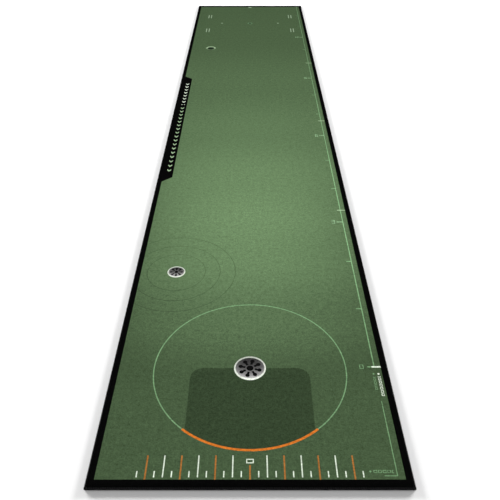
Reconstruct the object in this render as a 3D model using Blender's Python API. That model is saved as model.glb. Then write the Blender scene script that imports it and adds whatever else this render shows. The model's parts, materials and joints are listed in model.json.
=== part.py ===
"""Practice putting mat: a velour putting surface bonded to a rubber base, which rolls up from its far end.

The mat lies flat on z = 0. Its length runs along Y with the player's end at -Y, and the origin is the centre
of the underside. A flexible sheet bends anywhere along its length, so each layer is divided across the length
into strips. Every strip turns on the strip before it about a line across the pile's tips, the side that a roll
closes on. The strips shorten towards the far end by one constant factor, which winds them into an open spiral
whose turns never touch: the far end is the innermost turn, and the player's end stays flat on the floor.

Units are metres.
"""

import math

import bmesh
import bpy

# Overall size
LENGTH = 5.0
WIDTH = 0.95
BASE_THICKNESS = 0.0022
PILE_THICKNESS = 0.0020
CORNER_RADIUS = 0.006

# Clearance between neighbouring solids
GAP = 0.0003

# Division into strips: how many there are, and how long the last one is beside the first
STRIP_COUNT = 30
LAST_TO_FIRST = 0.65

# Points on each quarter circle at the mat's own corners
CORNER_STEPS = 4

PILE_BOTTOM = BASE_THICKNESS + GAP
PILE_TOP = PILE_BOTTOM + PILE_THICKNESS

VELOUR_GREEN = (0.115, 0.195, 0.088, 1.0)
RUBBER_BLACK = (0.012, 0.012, 0.013, 1.0)
VELOUR_ROUGHNESS = 0.95
RUBBER_ROUGHNESS = 0.75


def clear_scene():
    """Remove every object that is in the file."""
    for obj in list(bpy.data.objects):
        bpy.data.objects.remove(obj, do_unlink=True)


def make_material(name, color, roughness):
    """A non-metallic Principled material."""
    material = bpy.data.materials.new(name)
    material.use_nodes = True
    material.diffuse_color = color
    shader = material.node_tree.nodes["Principled BSDF"]
    shader.inputs["Base Color"].default_value = color
    shader.inputs["Roughness"].default_value = roughness
    shader.inputs["Metallic"].default_value = 0.0
    return material


def strip_lines():
    """Y of every line between strips, from the player's end to the far end."""
    factor = LAST_TO_FIRST ** (1.0 / (STRIP_COUNT - 1))
    shares = [factor**index for index in range(STRIP_COUNT)]
    scale = LENGTH / sum(shares)
    lines = [-LENGTH / 2.0]
    for share in shares:
        lines.append(lines[-1] + share * scale)
    return lines


def corner_arc(center_x, center_y, first_angle):
    """Points of a quarter circle, anticlockwise from first_angle."""
    points = []
    for step in range(CORNER_STEPS + 1):
        angle = first_angle + 0.5 * math.pi * step / CORNER_STEPS
        x = center_x + CORNER_RADIUS * math.cos(angle)
        y = center_y + CORNER_RADIUS * math.sin(angle)
        points.append((x, y))
    return points


def strip_outline(near_y, far_y, rounded_near, rounded_far):
    """Anticlockwise plan outline of a strip, with round corners where it ends the mat."""
    side = WIDTH / 2.0
    inset = side - CORNER_RADIUS
    if rounded_near:
        near = corner_arc(-inset, near_y + CORNER_RADIUS, math.pi)
        near += corner_arc(inset, near_y + CORNER_RADIUS, 1.5 * math.pi)
    else:
        near = [(-side, near_y), (side, near_y)]
    if rounded_far:
        far = corner_arc(inset, far_y - CORNER_RADIUS, 0.0)
        far += corner_arc(-inset, far_y - CORNER_RADIUS, 0.5 * math.pi)
    else:
        far = [(side, far_y), (-side, far_y)]
    return near + far


def slab_mesh(name, outline, bottom, top):
    """A closed slab: the plan outline, extruded from bottom to top."""
    mesh = bpy.data.meshes.new(name)
    shape = bmesh.new()
    floor_verts = [shape.verts.new((x, y, bottom)) for x, y in outline]
    floor = shape.faces.new(floor_verts)
    extruded = bmesh.ops.extrude_face_region(shape, geom=[floor])
    roof_verts = [item for item in extruded["geom"] if isinstance(item, bmesh.types.BMVert)]
    bmesh.ops.translate(shape, verts=roof_verts, vec=(0.0, 0.0, top - bottom))
    bmesh.ops.recalc_face_normals(shape, faces=shape.faces)
    shape.to_mesh(mesh)
    shape.free()
    return mesh


def add_slab(name, outline, bottom, top, material, axis):
    """One layer of one strip, parented to the empty on the strip's turning line."""
    mesh = slab_mesh(name, outline, bottom, top)
    mesh.materials.append(material)
    slab = bpy.data.objects.new(name, mesh)
    bpy.context.collection.objects.link(slab)
    slab.parent = axis
    return slab


def add_axis(name, y, parent, parent_y):
    """An empty on a turning line, level with the pile's tips, carried by the strip before it."""
    axis = bpy.data.objects.new(name, None)
    bpy.context.collection.objects.link(axis)
    axis.empty_display_size = 0.05
    if parent is None:
        axis.location = (0.0, y, PILE_TOP)
    else:
        axis.parent = parent
        axis.location = (0.0, y - parent_y, 0.0)
    return axis


def main():
    clear_scene()
    velour = make_material("velour", VELOUR_GREEN, VELOUR_ROUGHNESS)
    rubber = make_material("rubber", RUBBER_BLACK, RUBBER_ROUGHNESS)
    lines = strip_lines()
    axis = None
    axis_y = 0.0
    for index in range(STRIP_COUNT):
        number = index + 1
        is_first = index == 0
        is_last = index == STRIP_COUNT - 1
        axis = add_axis(f"turning_line_{number:02d}", lines[index], axis, axis_y)
        axis_y = lines[index]
        length = lines[index + 1] - lines[index]
        near_y = 0.0 if is_first else GAP / 2.0
        far_y = length if is_last else length - GAP / 2.0
        outline = strip_outline(near_y, far_y, is_first, is_last)
        add_slab(f"rubber_base_{number:02d}", outline, -PILE_TOP, BASE_THICKNESS - PILE_TOP, rubber, axis)
        add_slab(f"velour_pile_{number:02d}", outline, PILE_BOTTOM - PILE_TOP, 0.0, velour, axis)


main()
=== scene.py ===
"""Looks of the practice putting mat: printed velour on a rubber base, with an overlocked edge.

The mat lies along Y with the player's end at -Y. Every texture coordinate is in metres: u is X, counted
from the centre line, and v is the distance from the player's end, so what is printed on the mat keeps its
place when the mat rolls up. Each visible piece runs from the middle of one CAD strip to the middle of the
next, across the hinge between them.
"""

import json
import math

import bpy
import numpy as np
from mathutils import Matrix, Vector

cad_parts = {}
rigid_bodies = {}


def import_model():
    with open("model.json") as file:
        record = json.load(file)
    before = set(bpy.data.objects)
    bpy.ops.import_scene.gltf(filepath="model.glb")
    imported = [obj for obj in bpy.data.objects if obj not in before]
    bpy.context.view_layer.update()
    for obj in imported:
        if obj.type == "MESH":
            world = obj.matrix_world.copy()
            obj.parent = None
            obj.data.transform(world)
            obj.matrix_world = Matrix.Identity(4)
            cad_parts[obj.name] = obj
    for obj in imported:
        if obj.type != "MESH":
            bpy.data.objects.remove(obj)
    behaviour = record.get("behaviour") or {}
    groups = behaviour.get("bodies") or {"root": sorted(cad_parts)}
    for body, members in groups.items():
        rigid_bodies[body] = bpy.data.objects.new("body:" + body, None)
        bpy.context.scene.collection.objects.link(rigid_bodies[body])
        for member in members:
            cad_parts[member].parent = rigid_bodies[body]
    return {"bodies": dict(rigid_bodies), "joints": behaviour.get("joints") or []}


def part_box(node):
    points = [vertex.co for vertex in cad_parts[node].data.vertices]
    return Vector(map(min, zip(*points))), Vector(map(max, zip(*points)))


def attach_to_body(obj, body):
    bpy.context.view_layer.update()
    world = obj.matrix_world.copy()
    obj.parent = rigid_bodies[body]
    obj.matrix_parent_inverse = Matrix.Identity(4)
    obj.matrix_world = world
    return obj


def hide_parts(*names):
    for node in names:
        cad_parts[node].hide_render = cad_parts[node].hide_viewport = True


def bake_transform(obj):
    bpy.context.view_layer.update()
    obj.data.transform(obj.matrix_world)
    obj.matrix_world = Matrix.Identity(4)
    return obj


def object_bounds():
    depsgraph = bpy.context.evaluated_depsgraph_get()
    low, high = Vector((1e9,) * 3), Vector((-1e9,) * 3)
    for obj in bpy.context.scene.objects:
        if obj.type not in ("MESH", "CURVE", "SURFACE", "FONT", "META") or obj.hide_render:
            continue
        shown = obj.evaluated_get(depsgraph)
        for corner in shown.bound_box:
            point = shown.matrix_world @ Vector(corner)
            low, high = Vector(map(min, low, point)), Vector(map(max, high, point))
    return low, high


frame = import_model()
CAD_LOW, CAD_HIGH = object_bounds()

MM = 0.001
INCH = 0.0254

NEAR_Y = CAD_LOW.y
FAR_Y = CAD_HIGH.y
LENGTH = FAR_Y - NEAR_Y
HALF_WIDTH = CAD_HIGH.x
BASE_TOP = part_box("rubber_base_01")[1].z
PILE_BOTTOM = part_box("velour_pile_01")[0].z
PILE_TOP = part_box("velour_pile_01")[1].z

# ---------------------------------------------------------------- layout of the print, from the player's end

BORDER_SIDE = 0.0245
BORDER_NEAR = 0.033
BORDER_FAR = 0.045
BORDER_INNER_X = HALF_WIDTH - BORDER_SIDE

CUP_V = 0.4645
CUP_RADIUS = 0.0548
CUP_TURN = math.radians(14.5)
SMALL_CUP_X = -0.3045
SMALL_CUP_V = 0.998
SMALL_CUP_RADIUS = 0.0363
FAR_CUP_X = -0.304
FAR_CUP_V = 3.800
FAR_CUP_RADIUS = 0.038

# Parts of a cup, as shares of its radius; the floor and the slots sit a little off its centre
FLOOR_RADIUS = 0.91
FLOOR_SHIFT = 0.02
FLOOR_FLATTENING = 1.12
SLOT_COUNT = 8
SLOT_SHIFT = -0.014
SLOT_START = 0.30
SLOT_END = 0.61
SLOT_HALF_WIDTH = 0.076
SLOT_BULB = 0.137
HUB_RADIUS = 0.220
FAR_HOLE_RADIUS = 0.68

CIRCLE_V = 0.4625
CIRCLE_RADIUS = 0.3300
CIRCLE_LINE_HALF = 2.0 * MM
ARC_LINE_HALF = 4.0 * MM
ARC_HALF_ANGLE = math.radians(40.0)
PAD_HALF_WIDTH = 0.2035
PAD_CORNER = 0.045
RIPPLE_RADII = (0.120, 0.181, 0.244)
RIPPLE_LINE_HALF = 1.3 * MM

# The inch ruler across the player's end: heights of its ticks, and how far out each kind goes
INCH_BASE = 0.040
INCH_SHORT_TOP = 0.061
INCH_TALL_TOP = 0.114
INCH_ZERO_TOP = 0.081
SHORT_TICKS_REACH = 13.5 * INCH
TALL_TICKS_REACH = 11.0 * INCH
ORANGE_TICKS_REACH = 13.0 * INCH
TICK_HALF = 1.8 * MM
ORANGE_TICK_HALF = 2.3 * MM
INCH_ZERO_BOX = (-9.75 * MM, 9.75 * MM, 88.5 * MM, 100.5 * MM)

# The distance ruler up the right side: places across the mat, then places along it
RULER_X = 0.4285
FOOT_TICK_X = 0.4075
YARD_TICK_X = 0.400
METRE_TICK_X = 0.4125
RULER_FOOT_X = 0.391
ZERO_TICK_X = 0.405
ZERO_TICK_SPLIT_X = 0.4195
NUMERAL_X = 0.3844
RULER_START = 0.0452
RULER_GAP_START = 0.320
RULER_ZERO = 0.470
RULER_STEP = 0.300
RULER_LAST_METRE = 4.2
RULER_LINE_HALF = 1.5 * MM
RULER_LINE_HALF_FAR = 2.0 * MM
FOOT_TICK_HALF = 2.5 * MM
LONG_TICK_HALF = 3.8 * MM
ZERO_TICK_HALF = 3.3 * MM
RULER_ZERO_BOX = (0.3790, 0.3905, RULER_ZERO - 8.0 * MM, RULER_ZERO + 9.0 * MM)
NUMERALS = {3: "3", 6: "6", 9: "9", 12: "12"}
DIGIT_WIDTH = 12.0 * MM
DIGIT_HEIGHT = 27.0 * MM
DIGIT_STROKE = 4.0 * MM
DIGIT_PITCH = 16.0 * MM
DIGIT_INDENT = 5.0 * MM

# Where a unit would be named beside a ruler: the bullets by the distance ruler, and the two green rows
UNIT_DOT_V = 0.4378
FOOT_UNIT_X = 0.4212
INCH_UNIT_V = 0.0594

# The aiming marks near the far end: a ring with a dot on each side of it, and four pairs of short bars
AIM_V = 4.450
AIM_DOT_X = 0.2405
AIM_BARS_X = 0.352
AIM_BARS_OFF = 0.197

BANNER_INNER_X = -0.401
BANNER_MID = 2.47
BANNER_HALF = 0.73
BANNER_END_SLOPE = 0.92
CHEVRON_PITCH = 50.0 * MM
CHEVRON_LINE_HALF = 6.0 * MM
CHEVRON_SPAN_X = (-0.435, -0.415)
CHEVRON_SLOPE = 1.5
# Where the rows of chevrons start and end along the mat
GREEN_CHEVRONS = (1.83, 2.68)
WHITE_CHEVRONS = (2.71, 3.09)

# ---------------------------------------------------------------- colours, linear

BLACK_PRINT = (0.0020, 0.0020, 0.0020, 1.0)
WHITE_PRINT = (0.62, 0.70, 0.58, 1.0)
ORANGE_PRINT = (0.54, 0.148, 0.020, 1.0)
DULL_ORANGE_PRINT = (0.33, 0.132, 0.030, 1.0)
LIME_PRINT = (0.146, 0.268, 0.134, 1.0)
PALE_PRINT = (0.32, 0.45, 0.27, 1.0)
YARD_PRINT = (0.23, 0.38, 0.21, 1.0)
DULL_PRINT = (0.10, 0.19, 0.10, 1.0)
GREEN_PRINT = (0.1335, 0.2180, 0.1050, 1.0)
SLOT_PRINT = (0.004, 0.004, 0.004, 1.0)
FAR_HOLE_PRINT = (0.012, 0.020, 0.012, 1.0)
FLOOR_PRINT = (0.52, 0.512, 0.505, 1.0)
RIM_PRINT = (0.75, 0.80, 0.70, 1.0)
MARK_PRINT = (0.20, 0.27, 0.18, 1.0)
# How much of the green's brightness is left in the pad and in the rings
PAD_SHARE = 0.57
RIPPLE_SHARE = 0.62

# Brightness of the green along the mat, as (distance from the player's end, share of the brightest)
GLOW_ALONG = (
    (0.08, 0.395),
    (0.40, 0.405),
    (0.70, 0.635),
    (1.10, 0.910),
    (1.40, 1.00),
    (1.75, 0.90),
    (2.30, 0.700),
    (3.00, 0.537),
    (4.00, 0.405),
    (4.90, 0.370),
)
# How much of it is lost at 0.4 m from the centre line
GLOW_LOSS = ((0.30, 0.02), (0.60, 0.22), (1.40, 0.26), (1.80, 0.16), (2.40, 0.08), (3.20, 0.02))
GLOW_LOSS_X = 0.4
# How the distance ruler fades towards the far end
RULER_FADE = ((1.9, 1.0), (4.2, 0.80))


# ---------------------------------------------------------------- arithmetic as shader nodes


class Field:
    """A number that varies over the mat's surface, held by a shader socket."""

    def __init__(self, tree, socket):
        self.tree = tree
        self.socket = socket

    def math(self, operation, *others, clamp=False):
        node = self.tree.nodes.new("ShaderNodeMath")
        node.operation = operation
        node.use_clamp = clamp
        for slot, operand in zip(node.inputs, (self, *others)):
            if isinstance(operand, Field):
                self.tree.links.new(operand.socket, slot)
            else:
                slot.default_value = operand
        return Field(self.tree, node.outputs[0])

    def __add__(self, other):
        return self.math("ADD", other)

    def __sub__(self, other):
        return self.math("SUBTRACT", other)

    def __mul__(self, other):
        return self.math("MULTIPLY", other)

    def __abs__(self):
        return self.math("ABSOLUTE")


def larger(a, b):
    return a.math("MAXIMUM", b)


def smaller(a, b):
    return a.math("MINIMUM", b)


def inside(distance, edge=0.5 * MM):
    """1 where a signed distance is negative and 0 where it is positive, with a soft edge of that width."""
    return distance.math("MULTIPLY_ADD", -1.0 / edge, 0.5, clamp=True)


def near_multiple(value, period):
    """Distance to the nearest whole multiple of period."""
    return value.math("PINGPONG", period / 2.0)


def span(value, low, high):
    """Signed distance to a stretch of one coordinate."""
    return abs(value - (low + high) / 2.0) - (high - low) / 2.0


def rectangle(u, v, low_u, high_u, low_v, high_v):
    """Signed distance to a rectangle."""
    return larger(span(u, low_u, high_u), span(v, low_v, high_v))


def outline(distance, line_half):
    """Signed distance to a line round a shape."""
    return abs(distance) - line_half


def radius_from(u, v, center_u, center_v):
    """Distance from a point."""
    du = u - center_u
    dv = v - center_v
    return (du * du + dv * dv).math("SQRT")


def ramp(field, stops):
    """A smooth curve through (position, value) stops."""
    tree = field.tree
    first = stops[0][0]
    reach = stops[-1][0] - first
    node = tree.nodes.new("ShaderNodeValToRGB")
    node.color_ramp.interpolation = "EASE"
    elements = node.color_ramp.elements
    while len(elements) < len(stops):
        elements.new(1.0)
    for element, (place, value) in zip(elements, stops):
        element.position = (place - first) / reach
        element.color = (value, value, value, 1.0)
    tree.links.new(((field - first) * (1.0 / reach)).socket, node.inputs[0])
    return Field(tree, node.outputs[0])


def noise(tree, vector, scale, detail=2.0, roughness=0.6):
    node = tree.nodes.new("ShaderNodeTexNoise")
    node.inputs["Scale"].default_value = scale
    node.inputs["Detail"].default_value = detail
    node.inputs["Roughness"].default_value = roughness
    tree.links.new(vector, node.inputs["Vector"])
    return Field(tree, node.outputs["Fac"])


class Print:
    """Colours laid over each other on a surface."""

    def __init__(self, tree, color):
        self.tree = tree
        node = tree.nodes.new("ShaderNodeRGB")
        node.outputs[0].default_value = color
        self.socket = node.outputs[0]

    def shade(self, factor):
        """Multiply the colour so far by a field."""
        node = self.tree.nodes.new("ShaderNodeVectorMath")
        node.operation = "SCALE"
        self.tree.links.new(self.socket, node.inputs[0])
        self.tree.links.new(factor.socket, node.inputs["Scale"])
        self.socket = node.outputs[0]

    def paint(self, coverage, color, light=None):
        """Lay a colour over the colour so far, dimmed by light where that is given."""
        node = self.tree.nodes.new("ShaderNodeMix")
        node.data_type = "RGBA"
        self.tree.links.new(coverage.socket, node.inputs[0])
        self.tree.links.new(self.socket, node.inputs[6])
        if light is None:
            node.inputs[7].default_value = color
        else:
            layer = Print(self.tree, color)
            layer.shade(light)
            self.tree.links.new(layer.socket, node.inputs[7])
        self.socket = node.outputs[2]


# ---------------------------------------------------------------- what is printed on the velour


def green_ground(ink, u, v):
    """Green that glows round a spot between the near cup and the middle of the mat."""
    loss = ramp(v, GLOW_LOSS)
    across = u * (1.0 / GLOW_LOSS_X)
    side = (across * across * loss).math("MULTIPLY_ADD", -1.0, 1.0)
    ink.shade(ramp(v, GLOW_ALONG) * side)


def lime_light(v):
    """The lime lines brighten where the ground does."""
    return ramp(v, GLOW_ALONG) + 0.6


def stance_pad(ink, u, v):
    """Dark pad in the near half of the big circle, with two round corners at the cup's centre line."""
    side = larger(abs(u) - (PAD_HALF_WIDTH - PAD_CORNER), u * 0.0)
    end = larger(v - (CUP_V - PAD_CORNER), u * 0.0)
    corner = (side * side + end * end).math("SQRT") - PAD_CORNER
    circle = radius_from(u, v, 0.0, CIRCLE_V) - CIRCLE_RADIUS
    cover = inside(larger(corner, circle), edge=2.0 * MM)
    ink.shade(cover.math("MULTIPLY_ADD", PAD_SHARE - 1.0, 1.0))


def big_circle(ink, u, v):
    """Thin circle round the near cup, whose near stretch is a thick orange arc."""
    off = abs(radius_from(u, v, 0.0, CIRCLE_V) - CIRCLE_RADIUS)
    ink.paint(inside(off - CIRCLE_LINE_HALF), LIME_PRINT, lime_light(v))
    past_end = abs(u) + (v - CIRCLE_V) * math.tan(ARC_HALF_ANGLE)
    ink.paint(inside(larger(off - ARC_LINE_HALF, past_end)), ORANGE_PRINT)


def cup(ink, u, v, center_u, center_v, radius, turn, rim_fall, fall_power, floor_gain):
    """A false cup: white rim, brightest on the near side, round a shaded floor with keyhole slots.

    rim_fall says how much the rim dims away from the near side; fall_power and floor_gain say how fast the
    floor brightens towards it, and how far.
    """
    rim_light = (v - center_v) * (-rim_fall / radius) + (1.0 - rim_fall)
    ink.paint(inside(radius_from(u, v, center_u, center_v) - radius), RIM_PRINT, rim_light)

    floor_radius = FLOOR_RADIUS * radius
    du = u - center_u
    floor_dv = v - (center_v + FLOOR_SHIFT * radius)
    floor_reach = (du * du + floor_dv * floor_dv * FLOOR_FLATTENING).math("SQRT")
    fall = floor_dv * (-0.5 / (0.88 * radius)) + 0.5
    bevel = (floor_reach * (1.0 / floor_radius)).math("POWER", 5.0) * fall * 0.30
    floor_light = fall.math("POWER", fall_power) * floor_gain + bevel + 0.055
    ink.paint(inside(floor_reach - floor_radius), FLOOR_PRINT, floor_light)

    dv = v - (center_v + SLOT_SHIFT * radius)
    reach = (du * du + dv * dv).math("SQRT")
    sector = near_multiple(dv.math("ARCTAN2", du) - (math.pi / 2.0 - turn), 2.0 * math.pi / SLOT_COUNT)
    along = reach * sector.math("COSINE")
    across = reach * sector.math("SINE")
    neck = larger(span(along, SLOT_START * radius, SLOT_END * radius), across - SLOT_HALF_WIDTH * radius)
    bulb = radius_from(along, across, SLOT_END * radius, 0.0) - SLOT_BULB * radius
    ink.paint(inside(smaller(neck, bulb)), SLOT_PRINT)
    ink.paint(inside(reach - HUB_RADIUS * radius), SLOT_PRINT)


def far_cup(ink, u, v):
    """A plainer false cup: dark hole in a pale rim that fades away on the near side."""
    reach = radius_from(u, v, FAR_CUP_X, FAR_CUP_V)
    rim_light = (v - FAR_CUP_V) * (0.5 / FAR_CUP_RADIUS) + 0.62
    ink.paint(inside(reach - FAR_CUP_RADIUS), PALE_PRINT, rim_light)
    ink.paint(inside(reach - FAR_HOLE_RADIUS * FAR_CUP_RADIUS), FAR_HOLE_PRINT)


def ripples(ink, u, v):
    """Three thin dark rings round the first small cup."""
    reach = radius_from(u, v, SMALL_CUP_X, SMALL_CUP_V)
    cover = inside(abs(reach - RIPPLE_RADII[0]) - RIPPLE_LINE_HALF)
    for radius in RIPPLE_RADII[1:]:
        cover = larger(cover, inside(abs(reach - radius) - RIPPLE_LINE_HALF))
    ink.shade(cover.math("MULTIPLY_ADD", RIPPLE_SHARE - 1.0, 1.0))


def inch_ruler(ink, u, v):
    """Ticks at every inch across the player's end: short at odd inches, tall at even ones, every other of
    which is orange."""
    odd = near_multiple(u - INCH, 2.0 * INCH) - TICK_HALF
    short = larger(larger(odd, span(v, INCH_BASE, INCH_SHORT_TOP)), abs(u) - SHORT_TICKS_REACH)
    ink.paint(inside(short), WHITE_PRINT)
    two = near_multiple(u - 2.0 * INCH, 4.0 * INCH) - TICK_HALF
    tall = larger(larger(two, span(v, INCH_BASE, INCH_TALL_TOP)), abs(u) - TALL_TICKS_REACH)
    ink.paint(inside(tall), WHITE_PRINT)
    four = near_multiple(u, 4.0 * INCH) - ORANGE_TICK_HALF
    at_zero = inside(abs(u) - INCH)
    top = at_zero.math("MULTIPLY_ADD", INCH_ZERO_TOP - INCH_TALL_TOP, INCH_TALL_TOP)
    orange = larger(larger(four, larger(v - top, v * -1.0 + BORDER_NEAR)), abs(u) - ORANGE_TICKS_REACH)
    ink.paint(inside(orange), DULL_ORANGE_PRINT)
    ink.paint(inside(outline(rectangle(u, v, *INCH_ZERO_BOX), 1.5 * MM)), WHITE_PRINT)


def digit_distance(u, v, digit, center_u, center_v):
    """Signed distance to a block numeral that reads from the player's end."""
    half = DIGIT_STROKE / 2.0
    left, right = center_u - DIGIT_WIDTH / 2.0, center_u + DIGIT_WIDTH / 2.0
    low, high = center_v - DIGIT_HEIGHT / 2.0, center_v + DIGIT_HEIGHT / 2.0
    if digit == "1":
        return rectangle(u, v, center_u - half, center_u + half, low - half, high + half)
    bars = larger(near_multiple(v - low, DIGIT_HEIGHT / 2.0) - half, span(v, low - half, high + half))
    shape = larger(bars, span(u, left - half, right + half))
    uprights = {
        "2": ((left, low, center_v), (right, center_v, high)),
        "3": ((right, low, high),),
        "6": ((left, low, high), (right, low, center_v)),
        "9": ((right, low, high), (left, center_v, high)),
    }
    for place, bottom, top in uprights[digit]:
        shape = smaller(shape, rectangle(u, v, place - half, place + half, bottom - half, top + half))
    return shape


def distance_ruler(ink, u, v):
    """Ruler up the right side: feet to the left of the line, metres to the right of it."""
    line = abs(u - RULER_X)
    near_run = larger(line - RULER_LINE_HALF, span(v, RULER_START, RULER_GAP_START))
    far_run = larger(line - RULER_LINE_HALF_FAR, v * -1.0 + RULER_ZERO)
    start_run = larger(span(u, RULER_FOOT_X, RULER_X), abs(v - RULER_START) - RULER_LINE_HALF)
    fade = ramp(v, RULER_FADE)
    light = lime_light(v) * fade
    ink.paint(inside(smaller(smaller(near_run, far_run), start_run)), LIME_PRINT, light)

    before_first = v * -1.0 + (RULER_ZERO + 0.5 * RULER_STEP)
    feet = near_multiple(v - RULER_ZERO, RULER_STEP) - FOOT_TICK_HALF
    foot_ticks = larger(larger(feet, span(u, FOOT_TICK_X, RULER_X)), before_first)
    ink.paint(inside(foot_ticks), LIME_PRINT, light)
    yards = near_multiple(v - RULER_ZERO, 3.0 * RULER_STEP) - LONG_TICK_HALF
    yard_ticks = larger(larger(yards, span(u, YARD_TICK_X, RULER_X)), before_first)
    ink.paint(inside(yard_ticks), YARD_PRINT, fade)
    metres = near_multiple(v - RULER_ZERO, 1.0) - LONG_TICK_HALF
    outside_run = larger(before_first, v - RULER_LAST_METRE)
    metre_ticks = larger(larger(metres, span(u, METRE_TICK_X, BORDER_INNER_X)), outside_run)
    ink.paint(inside(metre_ticks), PALE_PRINT, fade)

    from_zero = abs(v - RULER_ZERO)
    zero_left = larger(span(u, ZERO_TICK_X, ZERO_TICK_SPLIT_X), from_zero - FOOT_TICK_HALF)
    ink.paint(inside(zero_left), LIME_PRINT)
    zero_right = larger(span(u, ZERO_TICK_SPLIT_X, BORDER_INNER_X), from_zero - ZERO_TICK_HALF)
    ink.paint(inside(zero_right), WHITE_PRINT)
    ink.paint(inside(outline(rectangle(u, v, *RULER_ZERO_BOX), 1.2 * MM)), LIME_PRINT)

    for feet_count, label in NUMERALS.items():
        number_v = RULER_ZERO + feet_count * RULER_STEP
        extra_digits = len(label) - 1
        for index, digit in enumerate(label):
            digit_x = NUMERAL_X - DIGIT_INDENT * extra_digits + (index - extra_digits / 2.0) * DIGIT_PITCH
            shape = digit_distance(u, v, digit, digit_x, number_v)
            ink.paint(inside(shape), YARD_PRINT, fade)


def open_boxes(along, across, pitch, long_half, wide_half, line_half):
    """Signed distance to a row of small outlined boxes that repeat along one coordinate."""
    return outline(larger(near_multiple(along, pitch) - long_half, abs(across) - wide_half), line_half)


def unit_marks(ink, u, v):
    """A bullet and a row of small open boxes beside each ruler, where a unit would be named."""
    white_row = open_boxes(v - 0.347, u - 0.4385, 13.5 * MM, 4.2 * MM, 3.6 * MM, 1.0 * MM)
    white_row = larger(white_row, span(v, 0.3415, 0.4275))
    white_dot = radius_from(u, v, 0.4382, UNIT_DOT_V) - 3.6 * MM
    ink.paint(inside(smaller(white_row, white_dot)), WHITE_PRINT)
    green_row = open_boxes(v - 0.373, u - FOOT_UNIT_X, 13.0 * MM, 4.0 * MM, 3.2 * MM, 0.8 * MM)
    green_row = larger(green_row, span(v, 0.3675, 0.4265))
    green_dot = radius_from(u, v, FOOT_UNIT_X, UNIT_DOT_V) - 3.0 * MM
    inch_row = open_boxes(u - 0.366, v - INCH_UNIT_V, 13.5 * MM, 4.4 * MM, 4.0 * MM, 0.9 * MM)
    inch_row = larger(inch_row, span(u, 0.3600, 0.4200))
    inch_dot = radius_from(u, v, 0.3512, INCH_UNIT_V) - 3.4 * MM
    green = smaller(smaller(green_row, green_dot), smaller(inch_row, inch_dot))
    ink.paint(inside(green), LIME_PRINT)


def far_marks(ink, u, v):
    """Small aiming marks near the far end."""
    reach = radius_from(u, v, 0.0, AIM_V)
    ink.paint(inside(outline(reach - 17.0 * MM, 4.0 * MM)), DULL_PRINT)
    ink.paint(inside(reach - 11.0 * MM), SLOT_PRINT)
    dots = radius_from(abs(u), v, AIM_DOT_X, AIM_V + 2.0 * MM) - 9.0 * MM
    bars_u = outline(abs(abs(u) - AIM_BARS_X) - 11.0 * MM, 4.0 * MM)
    bars_v = abs(abs(v - AIM_V) - AIM_BARS_OFF) - 48.0 * MM
    ink.paint(inside(smaller(dots, larger(bars_u, bars_v))), MARK_PRINT)
    edge_mark = larger(abs(u) - 14.0 * MM, span(v, LENGTH - BORDER_FAR - 26.0 * MM, LENGTH - BORDER_FAR))
    ink.paint(inside(edge_mark), MARK_PRINT)


def border_and_banner(ink, u, v):
    """Black border, and the black tab with a row of chevrons on its left side."""
    frame_edge = larger(abs(u) - BORDER_INNER_X, span(v, BORDER_NEAR, LENGTH - BORDER_FAR))
    slope = (u + BORDER_INNER_X) * BANNER_END_SLOPE
    banner = larger(u - BANNER_INNER_X, abs(v - BANNER_MID) + slope - BANNER_HALF)
    black = larger(inside(frame_edge * -1.0), inside(banner))
    ink.paint(black, BLACK_PRINT)
    bent = v - abs(u - sum(CHEVRON_SPAN_X) / 2.0) * CHEVRON_SLOPE
    row = larger(near_multiple(bent, CHEVRON_PITCH) - CHEVRON_LINE_HALF, span(u, *CHEVRON_SPAN_X))
    ink.paint(inside(larger(row, span(v, *GREEN_CHEVRONS))), PALE_PRINT)
    ink.paint(inside(larger(row, span(v, *WHITE_CHEVRONS))), WHITE_PRINT)


# ---------------------------------------------------------------- materials


def new_material(name, specular):
    """A material and its node tree, shader and texture coordinates in metres."""
    material = bpy.data.materials.new(name)
    material.use_nodes = True
    tree = material.node_tree
    shader = tree.nodes["Principled BSDF"]
    shader.inputs["Specular IOR Level"].default_value = specular
    place = tree.nodes.new("ShaderNodeUVMap")
    place.uv_map = "metres"
    return material, tree, shader, place.outputs[0]


def add_bump(tree, shader, height, distance):
    node = tree.nodes.new("ShaderNodeBump")
    node.inputs["Distance"].default_value = distance
    tree.links.new(height.socket, node.inputs["Height"])
    tree.links.new(node.outputs[0], shader.inputs["Normal"])


# How far the pile makes the edges of the print wander
FUZZ = 1.4 * MM
# Pitch of the pattern embossed in the rubber
WAFFLE = 5.0 * MM


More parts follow.
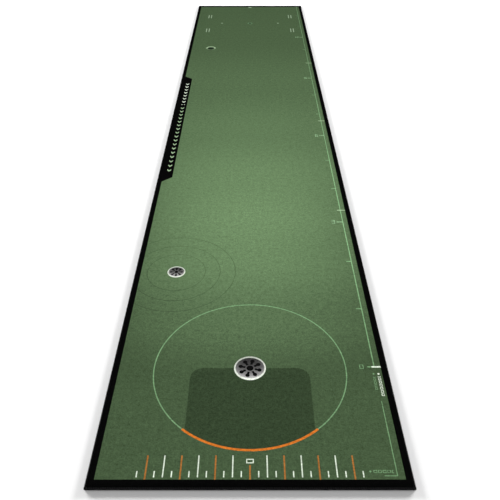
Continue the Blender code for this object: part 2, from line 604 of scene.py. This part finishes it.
def velour_material():
    """Short pile with everything printed on it, and a grain from single fibres up to broad patches of nap."""
    material, tree, shader, place = new_material("printed_velour", 0.0)
    split = tree.nodes.new("ShaderNodeSeparateXYZ")
    tree.links.new(place, split.inputs[0])
    fibres = noise(tree, place, 900.0, detail=1.0)
    tufts = noise(tree, place, 210.0, detail=1.0)
    clumps = noise(tree, place, 90.0, detail=1.0)
    nap = noise(tree, place, 38.0, detail=2.0)
    u = Field(tree, split.outputs["X"]) + (fibres - 0.5) * FUZZ
    v = Field(tree, split.outputs["Y"]) + (tufts - 0.5) * FUZZ

    ink = Print(tree, GREEN_PRINT)
    green_ground(ink, u, v)
    stance_pad(ink, u, v)
    ripples(ink, u, v)
    big_circle(ink, u, v)
    near_cup = (0.0, CUP_V, CUP_RADIUS, CUP_TURN)
    small_cup = (SMALL_CUP_X, SMALL_CUP_V, SMALL_CUP_RADIUS, 0.0)
    cup(ink, u, v, *near_cup, rim_fall=0.22, fall_power=2.3, floor_gain=0.55)
    cup(ink, u, v, *small_cup, rim_fall=0.10, fall_power=1.7, floor_gain=0.62)
    far_cup(ink, u, v)
    inch_ruler(ink, u, v)
    distance_ruler(ink, u, v)
    unit_marks(ink, u, v)
    far_marks(ink, u, v)
    border_and_banner(ink, u, v)

    grain = (fibres - 0.5) * 0.6 + (tufts - 0.5) * 0.9 + (clumps - 0.5) * 0.66 + (nap - 0.5) * 0.38
    ink.shade(grain + 1.0)
    tree.links.new(ink.socket, shader.inputs["Base Color"])
    tree.links.new((fibres * 0.12 + 0.86).socket, shader.inputs["Roughness"])
    add_bump(tree, shader, fibres * 0.5 + tufts * 0.5, 0.8 * MM)
    return material


def rubber_material():
    """Foamed rubber with a fine embossed waffle."""
    material, tree, shader, place = new_material("foamed_rubber", 0.05)
    split = tree.nodes.new("ShaderNodeSeparateXYZ")
    tree.links.new(place, split.inputs[0])
    u = Field(tree, split.outputs["X"])
    v = Field(tree, split.outputs["Y"])
    speckle = noise(tree, place, 350.0, detail=3.0)
    blotch = noise(tree, place, 9.0, detail=2.0)
    ink = Print(tree, (0.017, 0.017, 0.018, 1.0))
    ink.shade(speckle * 0.6 + blotch * 0.5 + 0.45)
    tree.links.new(ink.socket, shader.inputs["Base Color"])
    tree.links.new((speckle * 0.2 + 0.68).socket, shader.inputs["Roughness"])
    waffle = larger(near_multiple(u, WAFFLE), near_multiple(v, WAFFLE)) * (2.0 / WAFFLE)
    add_bump(tree, shader, waffle * 0.8 + speckle * 0.3, 0.5 * MM)
    return material


def yarn_material():
    """Black polyester yarn: u runs round the strand and v along it."""
    material, tree, shader, place = new_material("overlock_yarn", 0.012)
    stretch = tree.nodes.new("ShaderNodeMapping")
    stretch.inputs["Scale"].default_value = (2600.0, 300.0, 1.0)
    stretch.inputs["Rotation"].default_value = (0.0, 0.0, 0.5)
    tree.links.new(place, stretch.inputs["Vector"])
    filaments = noise(tree, stretch.outputs[0], 1.0, detail=2.0)
    ink = Print(tree, (0.0035, 0.0035, 0.0037, 1.0))
    ink.shade(filaments * 1.2 + 0.4)
    tree.links.new(ink.socket, shader.inputs["Base Color"])
    tree.links.new((filaments * 0.25 + 0.55).socket, shader.inputs["Roughness"])
    add_bump(tree, shader, filaments, 0.25 * MM)
    return material


# ---------------------------------------------------------------- the mat's stretches

# Share of the half strip on each side of a hinge over which the sheet bends
BEND_SHARE = 0.33
# Cells along the bend, and along each flat part beside it
BEND_CELLS = 12
FLAT_CELLS = 5


def stretches():
    """The lengths from mid-strip to mid-strip, each as a dict: its number, its ends along Y, the bodies of
    the strips it lies on and the hinge that it crosses."""
    hinges = [joint["pos_m"][1] for joint in frame["joints"]]
    lines = [NEAR_Y, *hinges, FAR_Y]
    middles = [(a + b) / 2.0 for a, b in zip(lines, lines[1:])]
    bodies = [f"strip_{number:02d}" for number in range(1, len(middles) + 1)]
    found = [{"number": 0, "start": NEAR_Y, "end": middles[0], "bodies": [bodies[0]], "hinge": None}]
    for index, hinge in enumerate(hinges):
        found.append(
            {
                "number": index + 1,
                "start": middles[index],
                "end": middles[index + 1],
                "bodies": bodies[index : index + 2],
                "hinge": hinge,
            }
        )
    last = {"number": len(middles), "start": middles[-1], "end": FAR_Y, "bodies": [bodies[-1]], "hinge": None}
    return [*found, last]


def bend_zone(stretch):
    """Where the sheet starts and stops bending. The mat lies on the floor before its first hinge, so there
    the whole bend comes after the hinge."""
    hinge = stretch["hinge"]
    reach = BEND_SHARE * min(hinge - stretch["start"], stretch["end"] - hinge)
    if stretch["number"] == 1:
        return hinge, hinge + 2.0 * reach
    return hinge - reach, hinge + reach


def attach(piece, stretch):
    """A piece with no hinge rides on its strip; one that crosses the hinge between its two strips only has
    its transform applied.
    """
    if stretch["hinge"] is None:
        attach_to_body(piece, stretch["bodies"][0])
        return
    low, high = bend_zone(stretch)
    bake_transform(piece)


def mesh_object(name, verts, faces, uvs, material, smooth_angle):
    """A smooth-shaded object whose UV map, in metres, is given by vertex."""
    mesh = bpy.data.meshes.new(name)
    mesh.from_pydata(verts.tolist(), [], faces)
    layer = mesh.uv_layers.new(name="metres")
    corners = np.zeros(len(mesh.loops), np.int32)
    mesh.loops.foreach_get("vertex_index", corners)
    layer.data.foreach_set("uv", uvs[corners].astype(np.float32).ravel())
    mesh.materials.append(material)
    mesh.validate()
    mesh.shade_smooth()
    mesh.set_sharp_from_angle(angle=smooth_angle)
    piece = bpy.data.objects.new(name, mesh)
    bpy.context.scene.collection.objects.link(piece)
    return piece


# ---------------------------------------------------------------- velour and rubber slabs

# Distances of the outer vertices from the CAD edge. The layers stop at the first, to leave room for the yarn,
# and are pinched thin under it.
EDGE_STEPS = tuple(step * MM for step in (2.0, 3.5, 5.0, 6.0, 7.0, 8.0, 9.0, 25.0))
PINCH_INNER = 9.0 * MM
PINCH_OUTER = 5.0 * MM
PINCH_TOP = 0.9 * MM
PINCH_UNDER = 1.7 * MM
INNER_COLUMNS = 12


def pinch(from_edge):
    """1 under the yarn, falling smoothly to 0 away from the edge."""
    t = np.clip((PINCH_INNER - from_edge) / (PINCH_INNER - PINCH_OUTER), 0.0, 1.0)
    return t * t * (3.0 - 2.0 * t)


def columns():
    """X of each column of vertices, closer together at the sides."""
    rims = [HALF_WIDTH - step for step in EDGE_STEPS]
    inner = list(np.linspace(-rims[-1], rims[-1], INNER_COLUMNS + 1))[1:-1]
    return np.array([-x for x in rims] + inner + rims[::-1])


def rows(stretch):
    """Y of each row of vertices along a stretch, closer together in the bend and at the mat's own ends."""
    start, end = stretch["start"], stretch["end"]
    if stretch["hinge"] is None:
        places = np.linspace(start, end, 2 * FLAT_CELLS + 1)
        steps = np.array(EDGE_STEPS)
        if start == NEAR_Y:
            return np.concatenate([NEAR_Y + steps, places[places > NEAR_Y + steps[-1]]])
        return np.concatenate([places[places < FAR_Y - steps[-1]], FAR_Y - steps[::-1]])
    low, high = bend_zone(stretch)
    before = np.linspace(start, low, FLAT_CELLS + 1)[:-1]
    bend = np.linspace(low, high, BEND_CELLS + 1)
    after = np.linspace(high, end, FLAT_CELLS + 1)[1:]
    return np.concatenate([before, bend, after])


def slab(name, stretch, bottom, top, material):
    """A closed slab over a stretch; bottom and top are each a height and what the pinch adds to it."""
    xs = columns()
    ys = rows(stretch)
    grid_x, grid_y = np.meshgrid(xs, ys)
    flat_x, flat_y = grid_x.ravel(), grid_y.ravel()
    from_side = HALF_WIDTH - np.abs(flat_x)
    from_end = np.minimum(flat_y - NEAR_Y, FAR_Y - flat_y)
    squeeze = pinch(np.minimum(from_side, from_end))
    lower = np.column_stack([flat_x, flat_y, bottom[0] + bottom[1] * squeeze])
    upper = np.column_stack([flat_x, flat_y, top[0] + top[1] * squeeze])
    count = len(flat_x)
    wide, deep = len(xs), len(ys)
    faces = []
    for row in range(deep - 1):
        for column in range(wide - 1):
            a = row * wide + column
            quad = (a, a + 1, a + 1 + wide, a + wide)
            faces.append(tuple(count + corner for corner in quad))
            faces.append(quad[::-1])
    near_rim = list(range(wide))
    right_rim = [row * wide + wide - 1 for row in range(1, deep)]
    far_rim = [(deep - 1) * wide + column for column in range(wide - 2, -1, -1)]
    left_rim = [row * wide for row in range(deep - 2, 0, -1)]
    rim = near_rim + right_rim + far_rim + left_rim
    for a, b in zip(rim, rim[1:] + rim[:1]):
        faces.append((a, b, count + b, count + a))
    verts = np.vstack([lower, upper])
    uvs = np.column_stack([verts[:, 0], verts[:, 1] - NEAR_Y])
    return mesh_object(name, verts, faces, uvs, material, math.radians(40.0))


def velour_slab(stretch, material):
    """Its top face is pressed down under the yarn."""
    name = f"velour_{stretch['number']:02d}"
    return slab(name, stretch, (PILE_BOTTOM, 0.0), (PILE_TOP, -PINCH_TOP), material)


def rubber_slab(stretch, material):
    """Its underside is pressed up under the yarn."""
    name = f"rubber_{stretch['number']:02d}"
    return slab(name, stretch, (0.0, PINCH_UNDER), (BASE_TOP, 0.0), material)


# ---------------------------------------------------------------- overlock stitching

STITCH_PITCH = 6.69 * MM
STRAND_HALF_WIDTH = 1.00 * MM
STRAND_HALF_DEPTH = 0.9 * MM
STRAND_OFFSET = 0.75 * MM
STRAND_SIDES = 7
STITCH_SLANT = 0.5 * MM
CORNER_RADIUS = 6.0 * MM
CORNER_STITCHES = 3
# The yarn's path over the edge, in millimetres: distance in from the edge, and height
STITCH_PATH = (
    (6.6, 3.6),
    (5.6, 4.3),
    (4.0, 4.6),
    (2.2, 4.2),
    (1.0, 3.2),
    (0.9, 2.1),
    (1.7, 1.1),
    (3.4, 0.9),
    (5.4, 0.9),
    (6.4, 1.4),
)


def stitch_template():
    """One stitch of two strands. Vertices are (in from the edge, along the edge, height)."""
    path = np.array(STITCH_PATH) * MM
    ahead = np.gradient(path, axis=0)
    ahead /= np.linalg.norm(ahead, axis=1)[:, None]
    normal = np.column_stack([-ahead[:, 1], ahead[:, 0]])
    lengths = np.concatenate([[0.0], np.cumsum(np.linalg.norm(np.diff(path, axis=0), axis=1))])
    verts, uvs, faces = [], [], []
    for side in (-1.0, 1.0):
        first = len(verts)
        for step in range(len(path)):
            slant = STITCH_SLANT * (0.5 - step / (len(path) - 1))
            for corner in range(STRAND_SIDES):
                angle = 2.0 * math.pi * corner / STRAND_SIDES
                rise = STRAND_HALF_DEPTH * math.sin(angle)
                shift = STRAND_HALF_WIDTH * math.cos(angle)
                inward = path[step][0] + normal[step][0] * rise
                height = path[step][1] + normal[step][1] * rise
                verts.append((inward, side * STRAND_OFFSET + slant + shift, height))
                uvs.append((angle * STRAND_HALF_WIDTH, lengths[step]))
        for step in range(len(path) - 1):
            for corner in range(STRAND_SIDES):
                a = first + step * STRAND_SIDES + corner
                b = first + step * STRAND_SIDES + (corner + 1) % STRAND_SIDES
                faces.append((a, b, b + STRAND_SIDES, a + STRAND_SIDES))
        last = first + (len(path) - 1) * STRAND_SIDES
        faces.append(tuple(range(first, first + STRAND_SIDES))[::-1])
        faces.append(tuple(range(last, last + STRAND_SIDES)))
    return np.array(verts), faces, np.array(uvs)


def evenly(start, end):
    """Middles of the stitches that fill a straight run."""
    count = round((end - start) / STITCH_PITCH)
    return start + (np.arange(count) + 0.5) * (end - start) / count


def side_places(sign):
    """(x, y, inward x, inward y) of the stitches down one long side."""
    ys = evenly(NEAR_Y + CORNER_RADIUS, FAR_Y - CORNER_RADIUS)
    return [(sign * HALF_WIDTH, y, -sign, 0.0) for y in ys]


def end_places(edge_y, sign):
    """The same across one end, sign being -1 at the player's end, with the two round corners."""
    xs = evenly(-HALF_WIDTH + CORNER_RADIUS, HALF_WIDTH - CORNER_RADIUS)
    places = [(x, edge_y, 0.0, -sign) for x in xs]
    for side in (-1.0, 1.0):
        for index in range(CORNER_STITCHES):
            angle = math.pi / 2.0 * (index + 0.5) / CORNER_STITCHES
            out_x, out_y = side * math.cos(angle), sign * math.sin(angle)
            x = side * (HALF_WIDTH - CORNER_RADIUS) + CORNER_RADIUS * out_x
            y = edge_y - sign * CORNER_RADIUS + CORNER_RADIUS * out_y
            places.append((x, y, -out_x, -out_y))
    return places


def stitching(name, places, template, material):
    """Copies of the stitch at each place, as one object."""
    verts, faces, uvs = template
    spots = np.array(places)
    inward = spots[:, 2:4]
    along = np.column_stack([-inward[:, 1], inward[:, 0]])
    plan = spots[:, None, 0:2] + inward[:, None, :] * verts[None, :, 0:1]
    plan = plan + along[:, None, :] * verts[None, :, 1:2]
    heights = np.broadcast_to(verts[None, :, 2:3], (len(spots), len(verts), 1))
    all_verts = np.concatenate([plan, heights], axis=2).reshape(-1, 3)
    all_faces = []
    for index in range(len(spots)):
        shift = index * len(verts)
        all_faces.extend(tuple(shift + corner for corner in face) for face in faces)
    all_uvs = np.tile(uvs, (len(spots), 1))
    return mesh_object(name, all_verts, all_faces, all_uvs, material, math.radians(70.0))


# ---------------------------------------------------------------- the mat


def build_mat():
    velour = velour_material()
    rubber = rubber_material()
    yarn = yarn_material()
    template = stitch_template()
    sides = {"left": side_places(-1.0), "right": side_places(1.0)}
    for stretch in stretches():
        number = stretch["number"]
        length = stretch["end"] - stretch["start"]
        base = rubber_slab(stretch, rubber)
        face = velour_slab(stretch, velour)
        stood_for = min(number + 1, len(frame["bodies"]))
        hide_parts(f"rubber_base_{stood_for:02d}")
        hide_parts(f"velour_pile_{stood_for:02d}")
        attach(base, stretch)
        attach(face, stretch)
        for side, places in sides.items():
            mine = [place for place in places if stretch["start"] <= place[1] < stretch["end"]]
            edge = stitching(f"stitch_{side}_{number:02d}", mine, template, yarn)
            attach(edge, stretch)
    near_edge = stitching("stitch_near_end", end_places(NEAR_Y, -1.0), template, yarn)
    far_edge = stitching("stitch_far_end", end_places(FAR_Y, 1.0), template, yarn)
    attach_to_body(near_edge, "strip_01")
    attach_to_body(far_edge, f"strip_{len(frame['bodies']):02d}")


# ---------------------------------------------------------------- floor, light and camera

FLOOR_SIZE = 400.0
FLOOR_GAP = 0.2 * MM
# The floor glows white from well outside the mat, where the softboxes don't reach
GLOW_STARTS = 6.0
GLOW_FULL = 18.0


def floor_material():
    """Pale and matt, with the glow growing outwards."""
    material = bpy.data.materials.new("pale_floor")
    material.use_nodes = True
    tree = material.node_tree
    shader = tree.nodes["Principled BSDF"]
    shader.inputs["Base Color"].default_value = (0.92, 0.92, 0.92, 1.0)
    shader.inputs["Roughness"].default_value = 0.9
    shader.inputs["Specular IOR Level"].default_value = 0.0
    shader.inputs["Emission Color"].default_value = (1.0, 1.0, 1.0, 1.0)
    place = tree.nodes.new("ShaderNodeTexCoord")
    reach = tree.nodes.new("ShaderNodeVectorMath")
    reach.operation = "LENGTH"
    glow = tree.nodes.new("ShaderNodeMapRange")
    glow.interpolation_type = "SMOOTHSTEP"
    glow.inputs["From Min"].default_value = GLOW_STARTS
    glow.inputs["From Max"].default_value = GLOW_FULL
    tree.links.new(place.outputs["Object"], reach.inputs[0])
    tree.links.new(reach.outputs["Value"], glow.inputs["Value"])
    tree.links.new(glow.outputs[0], shader.inputs["Emission Strength"])
    material.cycles.emission_sampling = "NONE"
    return material


def build_floor():
    bpy.ops.mesh.primitive_plane_add(size=FLOOR_SIZE, location=(0.0, 0.0, -FLOOR_GAP))
    floor = bpy.context.object
    floor.name = "floor"
    floor.data.materials.append(floor_material())


SOFTBOX_POWER = 84000.0
SOFTBOX_SIZE = (19.0, 7.0)
SOFTBOX_AWAY = 28.3
SOFTBOX_HEIGHT = 3.6
# The surroundings look as white as the floor, and light the mat less
WORLD_LIGHT = 0.42
WORLD_SEEN = 1.2


def add_softbox(name, side):
    """A big rectangle of light that faces the middle of the mat."""
    light = bpy.data.lights.new(name, "AREA")
    light.shape = "RECTANGLE"
    light.size, light.size_y = SOFTBOX_SIZE
    light.energy = SOFTBOX_POWER
    lamp = bpy.data.objects.new(name, light)
    bpy.context.scene.collection.objects.link(lamp)
    lamp.location = (side * SOFTBOX_AWAY, SOFTBOX_AWAY, SOFTBOX_HEIGHT)
    lamp.rotation_euler = (-lamp.location).to_track_quat("-Z", "Y").to_euler()


def build_light():
    """White surroundings, and two big low softboxes behind that draw a soft shadow towards the player."""
    world = bpy.data.worlds.new("studio")
    world.use_nodes = True
    tree = world.node_tree
    background = tree.nodes["Background"]
    background.inputs["Color"].default_value = (1.0, 1.0, 1.0, 1.0)
    path = tree.nodes.new("ShaderNodeLightPath")
    strength = tree.nodes.new("ShaderNodeMapRange")
    strength.inputs["To Min"].default_value = WORLD_LIGHT
    strength.inputs["To Max"].default_value = WORLD_SEEN
    tree.links.new(path.outputs["Is Camera Ray"], strength.inputs["Value"])
    tree.links.new(strength.outputs[0], background.inputs["Strength"])
    bpy.context.scene.world = world
    add_softbox("left_softbox", -1.0)
    add_softbox("right_softbox", 1.0)
    bpy.context.scene.view_settings.view_transform = "Standard"


CAMERA_BEFORE_EDGE = 1.018
CAMERA_HEIGHT = 1.599
CAMERA_LENS = 44.7
CAMERA_DOWN = math.radians(36.32)


def build_camera():
    """Standing at the player's end, looking down along the mat."""
    data = bpy.data.cameras.new("camera")
    data.lens = CAMERA_LENS
    data.sensor_width = 36.0
    camera = bpy.data.objects.new("camera", data)
    bpy.context.scene.collection.objects.link(camera)
    camera.location = (0.0, NEAR_Y - CAMERA_BEFORE_EDGE, CAMERA_HEIGHT)
    camera.rotation_euler = (math.pi / 2.0 - CAMERA_DOWN, 0.0, 0.0)
    bpy.context.scene.camera = camera


build_mat()
build_floor()
build_light()
build_camera()
